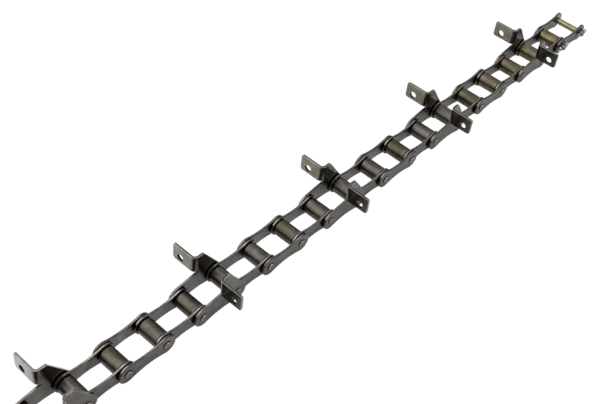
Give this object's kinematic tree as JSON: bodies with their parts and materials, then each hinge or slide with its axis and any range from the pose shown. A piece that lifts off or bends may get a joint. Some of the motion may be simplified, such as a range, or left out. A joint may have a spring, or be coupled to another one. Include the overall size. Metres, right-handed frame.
{
  "type": "conveyor chain",
  "caption": "Straight run of steel roller chain with waisted side plates, bent bolt-hole tabs on both sides of alternate outer links and a connecting link with split pins.",
  "frame": {"origin": "under the middle pin, at the bottom edges of the side plates", "axes": "+X along the chain towards the connecting link, +Y to the riveted side of the connecting link, +Z towards the tabs"},
  "size_m": [0.848, 0.0832, 0.0422],
  "materials": {
    "plate_steel": "dark oiled mill finish",
    "bush_steel": "oiled",
    "roller_steel": "oiled, olive tinge",
    "pin_steel": "ground, oiled",
    "split_pin_steel": "bright wire"
  },
  "bodies": {
    "inner_link_01": {"tail_link": "plate_steel"},
    "attachment_link_01": {"attachment_plates_01": "plate_steel", "pins_01": "pin_steel"},
    "inner_link_02": {"inner_plates_02": "plate_steel", "bushes_02": "bush_steel"},
    "outer_link_02": {"outer_plates_02": "plate_steel", "pins_02": "pin_steel"},
    "inner_link_03": {"inner_plates_03": "plate_steel", "bushes_03": "bush_steel"},
    "attachment_link_03": {"attachment_plates_03": "plate_steel", "pins_03": "pin_steel"},
    "inner_link_04": {"inner_plates_04": "plate_steel", "bushes_04": "bush_steel"},
    "outer_link_04": {"outer_plates_04": "plate_steel", "pins_04": "pin_steel"},
    "inner_link_05": {"inner_plates_05": "plate_steel", "bushes_05": "bush_steel"},
    "attachment_link_05": {"attachment_plates_05": "plate_steel", "pins_05": "pin_steel"},
    "inner_link_06": {"inner_plates_06": "plate_steel", "bushes_06": "bush_steel"},
    "outer_link_06": {"outer_plates_06": "plate_steel", "pins_06": "pin_steel"},
    "inner_link_07": {"inner_plates_07": "plate_steel", "bushes_07": "bush_steel"},
    "attachment_link_07": {"attachment_plates_07": "plate_steel", "pins_07": "pin_steel"},
    "inner_link_08": {"inner_plates_08": "plate_steel", "bushes_08": "bush_steel"},
    "outer_link_08": {"outer_plates_08": "plate_steel", "pins_08": "pin_steel"},
    "inner_link_09": {"inner_plates_09": "plate_steel", "bushes_09": "bush_steel"},
    "attachment_link_09": {"attachment_plates_09": "plate_steel", "pins_09": "pin_steel"},
    "inner_link_10": {"inner_plates_10": "plate_steel", "bushes_10": "bush_steel"},
    "connecting_link": {"connecting_plates": "plate_steel", "connecting_pins": "pin_steel", "split_pins": "split_pin_steel"},
    "roller_00": {"roller_00": "roller_steel"},
    "roller_01": {"roller_01": "roller_steel"},
    "roller_02": {"roller_02": "roller_steel"},
    "roller_03": {"roller_03": "roller_steel"},
    "roller_04": {"roller_04": "roller_steel"},
    "roller_05": {"roller_05": "roller_steel"},
    "roller_06": {"roller_06": "roller_steel"},
    "roller_07": {"roller_07": "roller_steel"},
    "roller_08": {"roller_08": "roller_steel"},
    "roller_09": {"roller_09": "roller_steel"},
    "roller_10": {"roller_10": "roller_steel"},
    "roller_11": {"roller_11": "roller_steel"},
    "roller_12": {"roller_12": "roller_steel"},
    "roller_13": {"roller_13": "roller_steel"},
    "roller_14": {"roller_14": "roller_steel"},
    "roller_15": {"roller_15": "roller_steel"},
    "roller_16": {"roller_16": "roller_steel"},
    "roller_17": {"roller_17": "roller_steel"},
    "roller_18": {"roller_18": "roller_steel"},
    "roller_19": {"roller_19": "roller_steel"}
  },
  "joints": [
    {"name": "bend_01", "type": "hinge", "parent": "attachment_link_01", "child": "inner_link_01", "pos_m": [-0.3726, 0, 0.0096], "axis": [0, -1, 0], "range_deg": [-85, 85]},
    {"name": "bend_02", "type": "hinge", "parent": "inner_link_02", "child": "attachment_link_01", "pos_m": [-0.3312, 0, 0.0096], "axis": [0, 1, 0], "range_deg": [-85, 85]},
    {"name": "bend_03", "type": "hinge", "parent": "outer_link_02", "child": "inner_link_02", "pos_m": [-0.2898, 0, 0.0096], "axis": [0, -1, 0], "range_deg": [-85, 85]},
    {"name": "bend_04", "type": "hinge", "parent": "inner_link_03", "child": "outer_link_02", "pos_m": [-0.2484, 0, 0.0096], "axis": [0, 1, 0], "range_deg": [-85, 85]},
    {"name": "bend_05", "type": "hinge", "parent": "attachment_link_03", "child": "inner_link_03", "pos_m": [-0.207, 0, 0.0096], "axis": [0, -1, 0], "range_deg": [-85, 85]},
    {"name": "bend_06", "type": "hinge", "parent": "inner_link_04", "child": "attachment_link_03", "pos_m": [-0.1656, 0, 0.0096], "axis": [0, 1, 0], "range_deg": [-85, 85]},
    {"name": "bend_07", "type": "hinge", "parent": "outer_link_04", "child": "inner_link_04", "pos_m": [-0.1242, 0, 0.0096], "axis": [0, -1, 0], "range_deg": [-85, 85]},
    {"name": "bend_08", "type": "hinge", "parent": "inner_link_05", "child": "outer_link_04", "pos_m": [-0.0828, 0, 0.0096], "axis": [0, 1, 0], "range_deg": [-85, 85]},
    {"name": "bend_09", "type": "hinge", "parent": "attachment_link_05", "child": "inner_link_05", "pos_m": [-0.0414, 0, 0.0096], "axis": [0, -1, 0], "range_deg": [-85, 85]},
    {"name": "bend_10", "type": "hinge", "parent": "attachment_link_05", "child": "inner_link_06", "pos_m": [0, 0, 0.0096], "axis": [0, -1, 0], "range_deg": [-85, 85]},
    {"name": "bend_11", "type": "hinge", "parent": "inner_link_06", "child": "outer_link_06", "pos_m": [0.0414, 0, 0.0096], "axis": [0, 1, 0], "range_deg": [-85, 85]},
    {"name": "bend_12", "type": "hinge", "parent": "outer_link_06", "child": "inner_link_07", "pos_m": [0.0828, 0, 0.0096], "axis": [0, -1, 0], "range_deg": [-85, 85]},
    {"name": "bend_13", "type": "hinge", "parent": "inner_link_07", "child": "attachment_link_07", "pos_m": [0.1242, 0, 0.0096], "axis": [0, 1, 0], "range_deg": [-85, 85]},
    {"name": "bend_14", "type": "hinge", "parent": "attachment_link_07", "child": "inner_link_08", "pos_m": [0.1656, 0, 0.0096], "axis": [0, -1, 0], "range_deg": [-85, 85]},
    {"name": "bend_15", "type": "hinge", "parent": "inner_link_08", "child": "outer_link_08", "pos_m": [0.207, 0, 0.0096], "axis": [0, 1, 0], "range_deg": [-85, 85]},
    {"name": "bend_16", "type": "hinge", "parent": "outer_link_08", "child": "inner_link_09", "pos_m": [0.2484, 0, 0.0096], "axis": [0, -1, 0], "range_deg": [-85, 85]},
    {"name": "bend_17", "type": "hinge", "parent": "inner_link_09", "child": "attachment_link_09", "pos_m": [0.2898, 0, 0.0096], "axis": [0, 1, 0], "range_deg": [-85, 85]},
    {"name": "bend_18", "type": "hinge", "parent": "attachment_link_09", "child": "inner_link_10", "pos_m": [0.3312, 0, 0.0096], "axis": [0, -1, 0], "range_deg": [-85, 85]},
    {"name": "bend_19", "type": "hinge", "parent": "inner_link_10", "child": "connecting_link", "pos_m": [0.3726, 0, 0.0096], "axis": [0, 1, 0], "range_deg": [-85, 85]},
    {"name": "spin_00", "type": "hinge", "parent": "inner_link_01", "child": "roller_00", "pos_m": [-0.414, 0, 0.0096], "axis": [0, 1, 0], "continuous": true},
    {"name": "spin_01", "type": "hinge", "parent": "inner_link_01", "child": "roller_01", "pos_m": [-0.3726, 0, 0.0096], "axis": [0, 1, 0], "continuous": true},
    {"name": "spin_02", "type": "hinge", "parent": "inner_link_02", "child": "roller_02", "pos_m": [-0.3312, 0, 0.0096], "axis": [0, 1, 0], "continuous": true},
    {"name": "spin_03", "type": "hinge", "parent": "inner_link_02", "child": "roller_03", "pos_m": [-0.2898, 0, 0.0096], "axis": [0, 1, 0], "continuous": true},
    {"name": "spin_04", "type": "hinge", "parent": "inner_link_03", "child": "roller_04", "pos_m": [-0.2484, 0, 0.0096], "axis": [0, 1, 0], "continuous": true},
    {"name": "spin_05", "type": "hinge", "parent": "inner_link_03", "child": "roller_05", "pos_m": [-0.207, 0, 0.0096], "axis": [0, 1, 0], "continuous": true},
    {"name": "spin_06", "type": "hinge", "parent": "inner_link_04", "child": "roller_06", "pos_m": [-0.1656, 0, 0.0096], "axis": [0, 1, 0], "continuous": true},
    {"name": "spin_07", "type": "hinge", "parent": "inner_link_04", "child": "roller_07", "pos_m": [-0.1242, 0, 0.0096], "axis": [0, 1, 0], "continuous": true},
    {"name": "spin_08", "type": "hinge", "parent": "inner_link_05", "child": "roller_08", "pos_m": [-0.0828, 0, 0.0096], "axis": [0, 1, 0], "continuous": true},
    {"name": "spin_09", "type": "hinge", "parent": "inner_link_05", "child": "roller_09", "pos_m": [-0.0414, 0, 0.0096], "axis": [0, 1, 0], "continuous": true},
    {"name": "spin_10", "type": "hinge", "parent": "inner_link_06", "child": "roller_10", "pos_m": [0, 0, 0.0096], "axis": [0, 1, 0], "continuous": true},
    {"name": "spin_11", "type": "hinge", "parent": "inner_link_06", "child": "roller_11", "pos_m": [0.0414, 0, 0.0096], "axis": [0, 1, 0], "continuous": true},
    {"name": "spin_12", "type": "hinge", "parent": "inner_link_07", "child": "roller_12", "pos_m": [0.0828, 0, 0.0096], "axis": [0, 1, 0], "continuous": true},
    {"name": "spin_13", "type": "hinge", "parent": "inner_link_07", "child": "roller_13", "pos_m": [0.1242, 0, 0.0096], "axis": [0, 1, 0], "continuous": true},
    {"name": "spin_14", "type": "hinge", "parent": "inner_link_08", "child": "roller_14", "pos_m": [0.1656, 0, 0.0096], "axis": [0, 1, 0], "continuous": true},
    {"name": "spin_15", "type": "hinge", "parent": "inner_link_08", "child": "roller_15", "pos_m": [0.207, 0, 0.0096], "axis": [0, 1, 0], "continuous": true},
    {"name": "spin_16", "type": "hinge", "parent": "inner_link_09", "child": "roller_16", "pos_m": [0.2484, 0, 0.0096], "axis": [0, 1, 0], "continuous": true},
    {"name": "spin_17", "type": "hinge", "parent": "inner_link_09", "child": "roller_17", "pos_m": [0.2898, 0, 0.0096], "axis": [0, 1, 0], "continuous": true},
    {"name": "spin_18", "type": "hinge", "parent": "inner_link_10", "child": "roller_18", "pos_m": [0.3312, 0, 0.0096], "axis": [0, 1, 0], "continuous": true},
    {"name": "spin_19", "type": "hinge", "parent": "inner_link_10", "child": "roller_19", "pos_m": [0.3726, 0, 0.0096], "axis": [0, 1, 0], "continuous": true}
  ]
}
